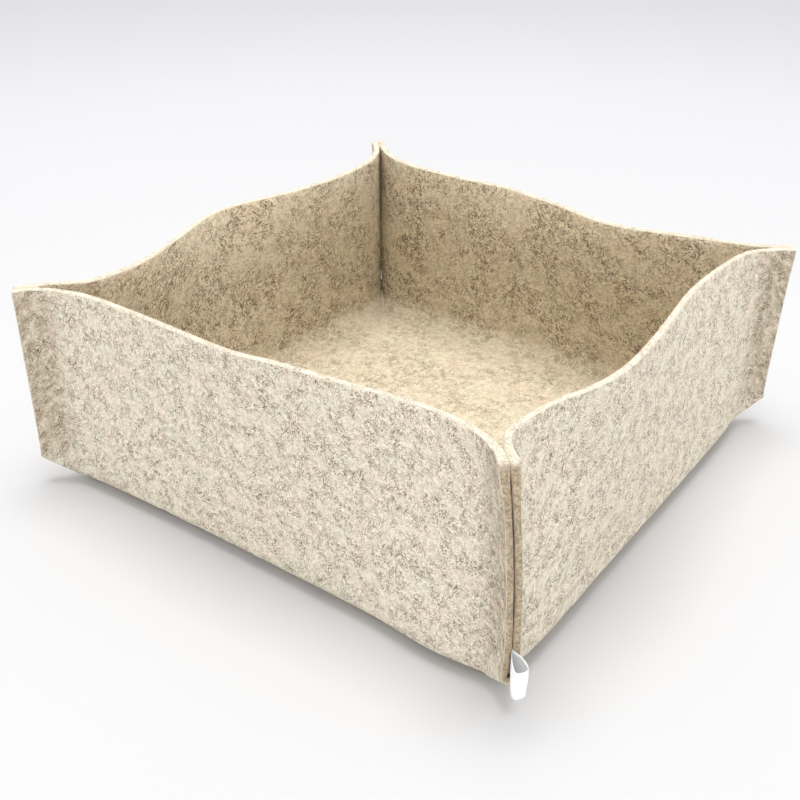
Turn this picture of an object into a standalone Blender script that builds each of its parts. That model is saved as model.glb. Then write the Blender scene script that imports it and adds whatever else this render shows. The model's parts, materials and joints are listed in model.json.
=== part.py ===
"""Cat bed: an open square box folded up from one sheet of thick wool felt.

The sheet's four walls rise from the base in one big round fold each. At every corner the ends of
two neighbouring walls are pinched together, inner face to inner face, and stand out along the
diagonal as a fin of two layers with raw cut edges. Below the fin the sheet folds up to it in a
short pointed ear. A blank ribbon label is caught in the front right fin.

Metres, +Z up. The origin is on the ground, under the middle of the base.
"""

import math
from collections import namedtuple

import bmesh
import bpy
from mathutils import Vector

# Driving dimensions of the felt sheet
FELT_THICKNESS = 0.005
OUTER_WIDTH = 0.400
RIM_HEIGHT = 0.1692
FOLD_OUTER_RADIUS = 0.020

# The fins at the corners, with the share of each flank that stays straight beside its bend,
# and the notch at each fin's foot, where the ring of the sheet opens
FIN_GAP = 0.0016
FIN_TIP = 0.2975
FIN_BEND_RADIUS = 0.030
FLANK_LEFT = 0.15
NOTCH_HEIGHT = 0.0240
NOTCH_OPEN_HEIGHT = 0.0275
NOTCH_SETBACK = 0.0012
NOTCH_STRETCH = 1.5
FOOT_EXTRA = 0.0016
FOOT_EXTRA_TOP = 0.060

# The ear under each fin, where the sheet lifts off the ground
EAR_ROUND = 0.038
EAR_SLOPE = math.radians(37.5)
EAR_SPREAD = math.radians(30.0)
EAR_CLOSED_HEIGHT = 0.016

# The walls lean and wave more towards the rim
LEAN_POWER = 1.3
WAVE_END = 0.198

# Mesh density
FOLD_STEPS = 5
WALL_STEPS = 14
BEND_STEPS = 4
FLANK_STEPS = 2
TIP_STEPS = 4
WALL_LEVELS = 7
BASE_MARGIN = 0.010

# The ribbon label
LABEL_THICKNESS = 0.001
LABEL_FOOT = 0.0285
LABEL_HEIGHT = 0.0220
LABEL_DROOP = 0.005
LABEL_ROWS = 3
LABEL_SUBSTEPS = 3

# The finishes
FELT_COLOUR = (0.74, 0.67, 0.56)
FELT_ROUGHNESS = 0.95
RIBBON_COLOUR = (0.88, 0.88, 0.87)
RIBBON_ROUGHNESS = 0.45

# Sizes worked out from the ones above
HALF_THICKNESS = FELT_THICKNESS / 2
WALL_MID = OUTER_WIDTH / 2 - HALF_THICKNESS
FOLD_RADIUS = FOLD_OUTER_RADIUS - HALF_THICKNESS
FOLD_TOP = HALF_THICKNESS + FOLD_RADIUS
FIN_OFFSET = HALF_THICKNESS + FIN_GAP / 2
ROOT_TWO = math.sqrt(2.0)

WaveRow = namedtuple("WaveRow", "along offset")
CornerRow = namedtuple("CornerRow", "side_x side_y foot_x foot_y belly_x belly_y rim_x rim_y rim_z")
Level = namedtuple("Level", "height reach tip spread is_open")
PathRow = namedtuple("PathRow", "outward aside")

# Where the rim of each wall stands, out (+) or in (-) of the straight wall plane.
# along runs with the ring front, right, back, left, seen from above against the clock.
RIM_WAVES = {
    "front": [
        WaveRow(-0.187, -0.0015), WaveRow(-0.158, -0.0080), WaveRow(-0.112, -0.0075),
        WaveRow(-0.058, -0.0040), WaveRow(-0.008, -0.0010), WaveRow(0.031, -0.0060),
        WaveRow(0.070, -0.0090), WaveRow(0.118, -0.0140), WaveRow(0.150, -0.0140),
        WaveRow(0.172, -0.0095), WaveRow(0.187, -0.0035),
    ],
    "right": [
        WaveRow(-0.193, -0.0015), WaveRow(-0.174, -0.0055), WaveRow(-0.136, -0.0025),
        WaveRow(-0.102, 0.0065), WaveRow(-0.068, 0.0095), WaveRow(-0.024, 0.0055),
        WaveRow(0.022, -0.0020), WaveRow(0.079, -0.0115), WaveRow(0.134, -0.0135),
        WaveRow(0.174, -0.0105), WaveRow(0.190, -0.0030),
    ],
    "back": [
        WaveRow(-0.190, -0.0020), WaveRow(-0.173, -0.0075), WaveRow(-0.142, -0.0160),
        WaveRow(-0.110, -0.0235), WaveRow(-0.083, -0.0290), WaveRow(-0.054, -0.0285),
        WaveRow(-0.023, -0.0225), WaveRow(0.009, -0.0180), WaveRow(0.040, -0.0155),
        WaveRow(0.074, -0.0175), WaveRow(0.104, -0.0190), WaveRow(0.136, -0.0195),
        WaveRow(0.167, -0.0145), WaveRow(0.190, -0.0035),
    ],
    "left": [
        WaveRow(-0.189, -0.0040), WaveRow(-0.164, -0.0145), WaveRow(-0.131, -0.0185),
        WaveRow(-0.096, -0.0180), WaveRow(-0.059, -0.0130), WaveRow(-0.034, -0.0065),
        WaveRow(-0.010, 0.0005), WaveRow(0.016, 0.0050), WaveRow(0.041, 0.0005),
        WaveRow(0.074, -0.0100), WaveRow(0.105, -0.0190), WaveRow(0.126, -0.0225),
        WaveRow(0.150, -0.0220), WaveRow(0.171, -0.0185), WaveRow(0.190, -0.0025),
    ],
}

# Where the big fold at the foot of each wall runs, out (+) or in (-) of the straight line
FOOT_WAVES = {
    "front": [
        WaveRow(-0.150, -0.0018), WaveRow(-0.060, -0.0030), WaveRow(0.030, -0.0022),
        WaveRow(0.100, -0.0010), WaveRow(0.150, 0.0032),
    ],
    "right": [
        WaveRow(-0.160, 0.0055), WaveRow(-0.050, 0.0052), WaveRow(0.050, 0.0050),
        WaveRow(0.120, 0.0045), WaveRow(0.165, 0.0035),
    ],
    "back": [WaveRow(-0.080, 0.0010), WaveRow(0.080, 0.0010)],
    "left": [WaveRow(-0.080, 0.0010), WaveRow(0.080, 0.0010)],
}

# How far each corner stands off a true square box: at its foot, how much more halfway up, at its rim
CORNERS = [
    CornerRow(-1, -1, -0.0002, -0.0015, 0.0000, 0.0000, 0.0009, -0.0021, -0.0030),
    CornerRow(1, -1, -0.0025, 0.0013, 0.0020, 0.0015, -0.0094, 0.0010, 0.0056),
    CornerRow(1, 1, -0.0044, -0.0021, 0.0000, 0.0000, 0.0003, -0.0048, -0.0064),
    CornerRow(-1, 1, 0.0050, 0.0037, 0.0000, 0.0000, 0.0033, 0.0045, 0.0035),
]

# The label's loop in plan, out from the fin's raw edge and aside towards the right wall
LABEL_PATH = [
    PathRow(-0.0100, 0.0000), PathRow(-0.0050, 0.0000), PathRow(0.0000, 0.0000),
    PathRow(0.0060, -0.0014), PathRow(0.0115, -0.0026), PathRow(0.0163, -0.0024),
    PathRow(0.0196, 0.0003), PathRow(0.0196, 0.0038), PathRow(0.0165, 0.0060),
    PathRow(0.0120, 0.0056), PathRow(0.0070, 0.0038), PathRow(0.0028, 0.0021),
]


def clear_scene():
    """Remove whatever objects the open file holds."""
    for item in list(bpy.data.objects):
        bpy.data.objects.remove(item, do_unlink=True)


def make_material(name, colour, roughness):
    """A plain Principled finish."""
    material = bpy.data.materials.new(name)
    material.use_nodes = True
    shader = material.node_tree.nodes["Principled BSDF"]
    shader.inputs["Base Color"].default_value = (*colour, 1.0)
    shader.inputs["Roughness"].default_value = roughness
    shader.inputs["Metallic"].default_value = 0.0
    return material


def hermite(start, end, start_slope, end_slope, span, part):
    """Cubic between two values with given slopes, at a part 0 to 1 of the span."""
    rest = 1.0 - part
    value = start * (1.0 + 2.0 * part) * rest * rest + end * part * part * (3.0 - 2.0 * part)
    value += span * part * rest * (start_slope * rest - end_slope * part)
    return value


def wave_at(rows, along):
    """Offset of the rim at a place along the wall, smooth through the table's rows."""
    table = [WaveRow(-WAVE_END, 0.0), *rows, WaveRow(WAVE_END, 0.0)]
    if abs(along) >= WAVE_END:
        return 0.0
    slopes = [0.0]
    for before, after in zip(table, table[2:]):
        slopes.append((after.offset - before.offset) / (after.along - before.along))
    slopes.append(0.0)
    index = max(i for i, row in enumerate(table[:-1]) if row.along <= along)
    first, second = table[index], table[index + 1]
    span = second.along - first.along
    part = (along - first.along) / span
    return hermite(first.offset, second.offset, slopes[index], slopes[index + 1], span, part)


def ear_reach(height):
    """How far out along the diagonal the ear's folded lower edge has come at a height."""
    arc_rise = EAR_ROUND * (1.0 - math.cos(EAR_SLOPE))
    arc_run = EAR_ROUND * math.sin(EAR_SLOPE)
    notch_rise = NOTCH_HEIGHT - HALF_THICKNESS
    straight_run = (notch_rise - arc_rise) / math.tan(EAR_SLOPE)
    start = FIN_TIP - NOTCH_SETBACK - arc_run - straight_run
    rise = height - HALF_THICKNESS
    if rise <= arc_rise:
        return start + math.sqrt(rise * (2.0 * EAR_ROUND - rise))
    return start + arc_run + (rise - arc_rise) / math.tan(EAR_SLOPE)


def fin_half(height):
    """Half the distance between the fin's layers, wider at the foot where the sheet folds round."""
    part = (height - NOTCH_HEIGHT) / (FOOT_EXTRA_TOP - NOTCH_HEIGHT)
    part = min(max(part, 0.0), 1.0)
    return FIN_OFFSET + FOOT_EXTRA * (1.0 - part) ** 2


def ear_spread(height):
    """Half angle between the ear's two flanks, closing as the sheet rises."""
    part = (height - HALF_THICKNESS) / (EAR_CLOSED_HEIGHT - HALF_THICKNESS)
    part = min(max(part, 0.0), 1.0)
    return EAR_SPREAD * (1.0 - part * part * (3.0 - 2.0 * part))


def sheet_levels():
    """The rings of the sheet's middle surface, from inside the flat base up to the rim."""
    base = Level(HALF_THICKNESS, WALL_MID - FOLD_RADIUS - BASE_MARGIN,
                 ear_reach(HALF_THICKNESS) - ROOT_TWO * BASE_MARGIN, EAR_SPREAD, False)
    levels = [base]
    for step in range(FOLD_STEPS + 1):
        angle = math.radians(90.0) * step / FOLD_STEPS
        height = HALF_THICKNESS + FOLD_RADIUS * (1.0 - math.cos(angle))
        reach = WALL_MID - FOLD_RADIUS * (1.0 - math.sin(angle))
        levels.append(Level(height, reach, ear_reach(height), ear_spread(height), False))
    levels.append(Level(NOTCH_HEIGHT, WALL_MID, FIN_TIP - NOTCH_SETBACK, 0.0, False))
    for step in range(WALL_LEVELS + 1):
        height = NOTCH_OPEN_HEIGHT + (RIM_HEIGHT - NOTCH_OPEN_HEIGHT) * step / WALL_LEVELS
        levels.append(Level(height, WALL_MID, FIN_TIP, 0.0, True))
    return levels


def tip_curve(level):
    """The last stretch of the ring up to the diagonal, as (along the diagonal, off it)."""
    half = fin_half(level.height)
    centre = level.tip / NOTCH_STRETCH - half
    start = math.atan(NOTCH_STRETCH * math.tan(level.spread))
    points = []
    for step in range(TIP_STEPS + 1):
        angle = start + (math.radians(90.0) - start) * step / TIP_STEPS
        off = half if level.is_open else half * math.cos(angle)
        points.append((NOTCH_STRETCH * (centre + half * math.sin(angle)), off))
    return points


def corner_curve(level):
    """Half a corner in plan: wall, bend, flank and tip, as (along the diagonal, off it)."""
    tip = tip_curve(level)
    tip_along, tip_off = tip[0]
    slope = math.tan(level.spread)
    meet_along = (ROOT_TWO * level.reach - tip_off - tip_along * slope) / (1.0 - slope)
    meet_off = ROOT_TWO * level.reach - meet_along
    turn = math.radians(45.0) - level.spread
    flank = (tip_along - meet_along) / math.cos(level.spread)
    tangent = min(FIN_BEND_RADIUS * math.tan(turn / 2.0), flank * (1.0 - FLANK_LEFT))
    radius = tangent / math.tan(turn / 2.0)
    bend_along = meet_along - tangent / ROOT_TWO
    bend_off = meet_off + tangent / ROOT_TWO
    centre_along = bend_along + radius / ROOT_TWO
    centre_off = bend_off + radius / ROOT_TWO
    points = []
    for step in range(BEND_STEPS + 1):
        angle = math.radians(45.0) - turn * step / BEND_STEPS
        along = centre_along - radius * math.sin(angle)
        off = centre_off - radius * math.cos(angle)
        points.append((along, off))
    bend_end = points[-1]
    for step in range(1, FLANK_STEPS):
        part = step / FLANK_STEPS
        along = bend_end[0] + (tip_along - bend_end[0]) * part
        off = bend_end[1] + (tip_off - bend_end[1]) * part
        points.append((along, off))
    return points + tip


def wall_outline(level):
    """One wall's stretch of the ring in plan, tip to tip, as (along the wall, out from the axis)."""
    corner = [((along - off) / ROOT_TWO, (along + off) / ROOT_TWO) for along, off in corner_curve(level)]
    wall_end = corner[0][0]
    wall = [(wall_end * (2.0 * step / WALL_STEPS - 1.0), level.reach) for step in range(1, WALL_STEPS)]
    start = [(-along, out) for along, out in reversed(corner)]
    return start + wall + corner


def lean(height):
    """How much of the rim's wave shows at a height, from 0 at the fold to 1 at the rim."""
    part = max(height - FOLD_TOP, 0.0) / (RIM_HEIGHT - FOLD_TOP)
    return part ** LEAN_POWER


def place_off_square(point):
    """Shift a point of the true square box to where the uneven box has it."""
    corner_reach = FIN_TIP / ROOT_TWO
    part = max(point.z - NOTCH_HEIGHT, 0.0) / (RIM_HEIGHT - NOTCH_HEIGHT)
    belly = math.sin(math.pi * min(part, 1.0))
    shift = Vector((0.0, 0.0, 0.0))
    for row in CORNERS:
        weight = (1.0 + row.side_x * point.x / corner_reach) / 2.0
        weight *= (1.0 + row.side_y * point.y / corner_reach) / 2.0
        shift.x += weight * (row.foot_x + (row.rim_x - row.foot_x) * part + row.belly_x * belly)
        shift.y += weight * (row.foot_y + (row.rim_y - row.foot_y) * part + row.belly_y * belly)
        shift.z += weight * row.rim_z * part
    return point + shift


def wall_point(side, along, out, height):
    """A point of the sheet in space, from its place on one of the four walls."""
    turn = math.radians(90.0) * list(RIM_WAVES).index(side)
    rim_offset = wave_at(RIM_WAVES[side], along) * lean(height)
    drop = rim_offset * rim_offset / (2.0 * (height - FOLD_TOP)) if height > FOLD_TOP else 0.0
    out += rim_offset + wave_at(FOOT_WAVES[side], along) * (1.0 - lean(height))
    point = Vector((along * math.cos(turn) + out * math.sin(turn),
                    along * math.sin(turn) - out * math.cos(turn), height - drop))
    return place_off_square(point)


def add_level(mesh, level):
    """Add one ring of vertices; neighbouring walls share their tip vertex below the notch."""
    walls = []
    outline = wall_outline(level)
    for index, side in enumerate(RIM_WAVES):
        vertices = []
        for number, (along, out) in enumerate(outline):
            is_last = number == len(outline) - 1
            if number == 0 and walls and not level.is_open:
                vertices.append(walls[-1][-1])
            elif is_last and index == len(RIM_WAVES) - 1 and not level.is_open:
                vertices.append(walls[0][0])
            else:
                vertices.append(mesh.verts.new(wall_point(side, along, out, level.height)))
        walls.append(vertices)
    return walls


def add_band(mesh, lower, upper):
    """Join two rings with a band of faces that point away from the inside of the box."""
    for low, high in zip(lower, upper):
        for column in range(len(low) - 1):
            mesh.faces.new((low[column], low[column + 1], high[column + 1], high[column]))


def object_from(mesh, name, material, collection):
    """Turn a bmesh into a named object with one material."""
    data = bpy.data.meshes.new(name)
    mesh.to_mesh(data)
    mesh.free()
    data.materials.append(material)
    data.shade_smooth()
    piece = bpy.data.objects.new(name, data)
    collection.objects.link(piece)
    return piece


def thicken(piece, thickness):
    """Give an open sheet its thickness, half to each side."""
    solidify = piece.modifiers.new("thickness", "SOLIDIFY")
    solidify.thickness = thickness
    solidify.offset = 0.0
    solidify.use_quality_normals = True


def build_felt_body(material, collection):
    """The one-piece felt sheet: base, folds, walls, ears and fins."""
    mesh = bmesh.new()
    rings = [add_level(mesh, level) for level in sheet_levels()]
    for lower, upper in zip(rings, rings[1:]):
        add_band(mesh, lower, upper)
    base_ring = [vertex for wall in rings[0] for vertex in wall[:-1]]
    mesh.faces.new(reversed(base_ring))
    piece = object_from(mesh, "felt_body", material, collection)
    thicken(piece, FELT_THICKNESS)
    return piece


def label_outline():
    """The ribbon's way in plan, smooth through the table's rows, as (outward, aside)."""
    path = [Vector((row.outward, row.aside)) for row in LABEL_PATH]
    slopes = [path[1] - path[0]]
    slopes += [(after - before) / 2.0 for before, after in zip(path, path[2:])]
    slopes.append(path[-1] - path[-2])
    points = []
    for index in range(len(path) - 1):
        for step in range(LABEL_SUBSTEPS):
            part = step / LABEL_SUBSTEPS
            points.append(hermite(path[index], path[index + 1], slopes[index], slopes[index + 1],
                                  1.0, part))
    points.append(path[-1])
    return points


def build_label(material, collection):
    """The blank ribbon: its root lies between the fin's two layers, its loop hangs outside."""
    outline = label_outline()
    reach = max(point.x for point in outline)
    mesh = bmesh.new()
    rows = []
    for level in range(LABEL_ROWS):
        row = []
        for point in outline:
            droop = LABEL_DROOP * (max(point.x, 0.0) / reach) ** 2
            height = LABEL_FOOT + LABEL_HEIGHT * level / (LABEL_ROWS - 1) - droop
            along = FIN_TIP + point.x
            place = Vector(((along + point.y) / ROOT_TWO, (point.y - along) / ROOT_TWO, height))
            row.append(mesh.verts.new(place_off_square(place)))
        rows.append(row)
    for low, high in zip(rows, rows[1:]):
        for column in range(len(low) - 1):
            mesh.faces.new((low[column], low[column + 1], high[column + 1], high[column]))
    piece = object_from(mesh, "label", material, collection)
    thicken(piece, LABEL_THICKNESS)
    return piece


def main():
    """Build the bed."""
    clear_scene()
    collection = bpy.data.collections.new("felt_cat_bed")
    bpy.context.scene.collection.children.link(collection)
    felt = make_material("mottled_felt", FELT_COLOUR, FELT_ROUGHNESS)
    ribbon = make_material("white_ribbon", RIBBON_COLOUR, RIBBON_ROUGHNESS)
    build_felt_body(felt, collection)
    build_label(ribbon, collection)


main()
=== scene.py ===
"""Visual model of a felt cat bed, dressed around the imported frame.

One sheet of thick mottled wool felt, cut as a cross, is folded up into an open square box. The ends
of neighbouring walls are pinched inner face to inner face and sewn, so a fin of two layers with raw
cut edges stands out at every corner. A blank satin ribbon is caught in one fin's foot.

Metres, +Z up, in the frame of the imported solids.
"""

import json
import logging
import math
from collections.abc import Sequence
from dataclasses import dataclass
from enum import Enum

import bpy
import numpy as np
from mathutils import Matrix, Vector, noise

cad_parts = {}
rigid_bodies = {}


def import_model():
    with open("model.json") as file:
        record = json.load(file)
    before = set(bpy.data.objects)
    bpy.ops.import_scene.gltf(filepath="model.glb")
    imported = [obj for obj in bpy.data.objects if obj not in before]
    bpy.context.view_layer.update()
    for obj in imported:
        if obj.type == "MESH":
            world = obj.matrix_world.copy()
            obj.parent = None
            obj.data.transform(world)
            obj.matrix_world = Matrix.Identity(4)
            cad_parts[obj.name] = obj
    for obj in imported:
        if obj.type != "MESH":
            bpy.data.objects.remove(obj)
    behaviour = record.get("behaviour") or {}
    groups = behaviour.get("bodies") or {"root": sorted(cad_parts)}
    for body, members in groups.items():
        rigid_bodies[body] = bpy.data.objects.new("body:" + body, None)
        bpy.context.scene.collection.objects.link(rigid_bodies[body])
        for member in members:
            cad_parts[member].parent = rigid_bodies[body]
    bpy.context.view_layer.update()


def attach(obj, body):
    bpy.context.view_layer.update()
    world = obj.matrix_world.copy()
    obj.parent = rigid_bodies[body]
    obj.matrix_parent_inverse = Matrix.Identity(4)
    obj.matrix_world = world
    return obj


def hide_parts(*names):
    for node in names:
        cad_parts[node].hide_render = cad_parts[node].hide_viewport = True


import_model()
LOG = logging.getLogger("felt_bed")
ROOT_TWO = math.sqrt(2.0)
MM = 0.001
# A cosine smaller than this counts as zero
TINY = 1e-6
# What a hair field's seed is raised by for its hairs' sizes and tones
SIZE_SEED = 7.0
TONE_SEED = 19.0
# Size of the felt's and the ribbon's flat plans that fills their texture square, in metres
FELT_PLAN = 0.8
RIBBON_PLAN = 0.1
Rows = Sequence[tuple[float, float]]
Band = tuple[float, float]
Colour = tuple[float, float, float, float]
Socket = bpy.types.NodeSocket


class Wall(Enum):
    """The four walls, valued by their quarter turns from the front wall."""

    FRONT = 0
    RIGHT = 1
    BACK = 2
    LEFT = 3


class Region(Enum):
    """The stretches of the felt's surface that carry different fibres."""

    OUTSIDE = 1
    UNDERSIDE = 2
    INSIDE = 3
    BASE = 4
    RIM = 5
    RAW_EDGE = 6
    PINCHED = 7


# Where along a wall, from its middle, the waves of its rim and foot have died out, in mm
WAVE_END = 198.0

# Where each wall's rim stands off the straight wall plane, as (along the wall, outwards) in mm
RIM_WAVES: dict[Wall, Rows] = {
    Wall.FRONT: (
        (-187, -1.5), (-158, -8), (-112, -7.5), (-58, -4), (-8, -1), (31, -6), (70, -9),
        (118, -14), (150, -14), (172, -9.5), (187, -3.5),
    ),
    Wall.RIGHT: (
        (-193, -1.5), (-174, -5.5), (-136, -2.5), (-102, 6.5), (-68, 9.5), (-24, 5.5), (22, -2),
        (79, -11.5), (134, -13.5), (174, -10.5), (190, -3),
    ),
    Wall.BACK: (
        (-190, -2), (-173, -7.5), (-142, -16), (-110, -23.5), (-83, -29), (-54, -28.5),
        (-23, -22.5), (9, -18), (40, -15.5), (74, -17.5), (104, -19), (136, -19.5),
        (167, -14.5), (190, -3.5),
    ),
    Wall.LEFT: (
        (-189, -4), (-164, -14.5), (-131, -18.5), (-96, -18), (-59, -13), (-34, -6.5),
        (-10, 0.5), (16, 5), (41, 0.5), (74, -10), (105, -19), (126, -22.5), (150, -22),
        (171, -18.5), (190, -2.5),
    ),
}

# Where the big fold at each wall's foot runs off the straight line, in mm
FOOT_WAVES: dict[Wall, Rows] = {
    Wall.FRONT: ((-150, -1.8), (-60, -3), (30, -2.2), (100, -1), (150, 3.2)),
    Wall.RIGHT: ((-160, 5.5), (-50, 5.2), (50, 5), (120, 4.5), (165, 3.5)),
    Wall.BACK: ((-80, 1), (80, 1)),
    Wall.LEFT: ((-80, 1), (80, 1)),
}

# How far each corner stands off a true square box, in mm: side of the box in x and y, then the
# shift of its foot, the extra shift halfway up, and the shift of its rim with the rim's height
CORNERS: Sequence[tuple[float, ...]] = (
    (-1, -1, -0.2, -1.5, 0, 0, 0.9, -2.1, -3.0),
    (1, -1, -2.5, 1.3, 2.0, 1.5, -9.4, 1.0, 5.6),
    (1, 1, -4.4, -2.1, 0, 0, 0.3, -4.8, -6.4),
    (-1, 1, 5.0, 3.7, 0, 0, 3.3, 4.5, 3.5),
)

# How far each fin leans, in mm: its corner's side in x and y, then outwards at the foot and at the
# rim, and aside at the foot and at the rim, counted anticlockwise seen from above
FIN_LEANS: Sequence[tuple[float, ...]] = (
    (-1, -1, 1.8, 0.9, 0, 0),
    (1, -1, 2.0, 0, 3.0, 1.7),
    (1, 1, 1.0, 1.3, 0, 0),
)

# How uneven the felt is, as (height in metres, bumps in a metre, seed)
OUTER_LUMPS = ((0.00022, 70.0, 1.0), (0.00012, 190.0, 4.0))
INNER_LUMPS = ((0.00024, 60.0, 9.0), (0.00012, 180.0, 13.0))
BASE_LUMPS = ((0.0007, 16.0, 21.0),)
EDGE_LUMPS = ((0.00016, 420.0, 30.0),)
# How uneven the seam's groove is, as parts of its depth
GROOVE_LUMPS = ((0.35, 260.0, 40.0),)

# The ribbon's way in plan, out from the fin's raw edge and aside towards the right wall, in mm
RIBBON_PATH: Rows = (
    (-8, -0.15), (-4, -0.15), (0, -0.15), (6, -1.9), (11.5, -3.0), (16, -3.0), (18.4, -1.6),
    (18.3, 1.4), (17.4, 4.2), (15.2, 5.2), (11, 4.9), (6, 3.6), (2.2, 1.5), (0, 0.25), (-4, 0.15),
    (-8, 0.15),
)


def smooth_step(low: float, high: float, value: np.ndarray | float) -> np.ndarray:
    """Ease from 0 at low to 1 at high.

    Args:
        low: Value where the result leaves 0.
        high: Value where the result reaches 1.
        value: One value or an array of them.

    Returns:
        The eased part, as an array.
    """
    part = np.clip((np.asarray(value, float) - low) / (high - low), 0.0, 1.0)
    return part * part * (3.0 - 2.0 * part)


def curve_between(part: np.ndarray, ends: Sequence[np.ndarray], slopes: Sequence[np.ndarray],
                  span: np.ndarray | float = 1.0) -> np.ndarray:
    """Follow a smooth curve from one value to the next.

    Args:
        part: How far along it, from 0 to 1.
        ends: The two values.
        slopes: The slopes at them.
        span: The distance that the slopes count from one to the other.

    Returns:
        The values on the curve.
    """
    rest = 1.0 - part
    value = ends[0] * (1.0 + 2.0 * part) * rest**2 + ends[1] * part**2 * (3.0 - 2.0 * part)
    return value + span * part * rest * (slopes[0] * rest - slopes[1] * part)


def smooth_table(rows: Rows, at: np.ndarray) -> np.ndarray:
    """Read a table of offsets with a smooth curve through its rows.

    Args:
        rows: Pairs of (along, offset) in mm.
        at: Places along the wall, in metres.

    Returns:
        The offsets in metres.
    """
    x, y = (np.array(column, float) * MM for column in zip((-WAVE_END, 0.0), *rows, (WAVE_END, 0.0)))
    slope = np.zeros_like(y)
    slope[1:-1] = (y[2:] - y[:-2]) / (x[2:] - x[:-2])
    place = np.clip(at, x[0], x[-1])
    row = np.clip(np.searchsorted(x, place, side="right") - 1, 0, len(x) - 2)
    span = x[row + 1] - x[row]
    ends, slopes = (y[row], y[row + 1]), (slope[row], slope[row + 1])
    return curve_between((place - x[row]) / span, ends, slopes, span)


def unit(vectors: np.ndarray) -> np.ndarray:
    """Scale vectors to length one."""
    return vectors / np.maximum(np.linalg.norm(vectors, axis=-1, keepdims=True), 1e-12)


def lumps(points: np.ndarray, rows: Sequence[tuple[float, float, float]]) -> np.ndarray:
    """Add up smooth random bumps at points in space.

    Args:
        points: An array of places, one row each.
        rows: Kinds of bump, each as (height, bumps in a metre, seed that shifts the pattern).

    Returns:
        One height for each point.
    """
    total = np.zeros(len(points))
    for height, per_metre, seed in rows:
        shift = Vector((seed, seed * 1.7, seed * 2.3))
        total += height * np.array([noise.noise(Vector(point) * per_metre + shift) for point in points])
    return total


def cells(table: np.ndarray, axis: int) -> np.ndarray:
    """List the four corners of every cell between neighbouring rows.

    Args:
        table: Vertex numbers or places, with the rows along the first axis.
        axis: The axis that counts along a row.

    Returns:
        Four corners for each cell.
    """
    before, after = range(table.shape[axis] - 1), range(1, table.shape[axis])
    around = ((table[:-1], before), (table[:-1], after), (table[1:], after), (table[1:], before))
    corners = np.stack([row.take(which, axis=axis) for row, which in around], axis=axis + 1)
    return corners.reshape(-1, 4, *table.shape[axis + 1:])


def link(piece: bpy.types.Object) -> None:
    """Put an object into the scene."""
    bpy.context.scene.collection.objects.link(piece)


def mesh_object(name: str, points: Sequence, faces: Sequence, smooth: bool = True) -> bpy.types.Object:
    """Make a mesh object at the origin and link it to the scene.

    Args:
        name: Name of the object and its mesh.
        points: Places of the vertices.
        faces: Vertex numbers of each face.
        smooth: Whether the faces are shaded smooth.

    Returns:
        The new object.
    """
    data = bpy.data.meshes.new(name)
    data.from_pydata([tuple(map(float, point)) for point in points], [], faces)
    if smooth:
        data.shade_smooth()
    piece = bpy.data.objects.new(name, data)
    link(piece)
    return piece


def plain_copy(piece: bpy.types.Object, name: str, material: bpy.types.Material) -> bpy.types.Object:
    """Turn a piece with live modifiers into a plain mesh piece, and delete the first one.

    Args:
        piece: Object whose evaluated shape is wanted.
        name: Name of the plain piece.
        material: Finish of the plain piece.

    Returns:
        The plain piece.
    """
    graph = bpy.context.evaluated_depsgraph_get()
    data = bpy.data.meshes.new_from_object(piece.evaluated_get(graph), depsgraph=graph)
    data.name = name
    data.materials.clear()
    data.materials.append(material)
    old = piece.data
    bpy.data.objects.remove(piece, do_unlink=True)
    bpy.data.meshes.remove(old)
    plain = bpy.data.objects.new(name, data)
    link(plain)
    return plain


def triangles(piece: bpy.types.Object) -> int:
    """Count a mesh piece's triangles."""
    return sum(len(face.vertices) - 2 for face in piece.data.polygons)


@dataclass(frozen=True)
class Grain:
    """A noise pattern, the noise values it is cut between, and the values they turn into."""

    scale: float
    detail: float
    low: float
    high: float
    start: float = 0.0
    end: float = 1.0


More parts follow.
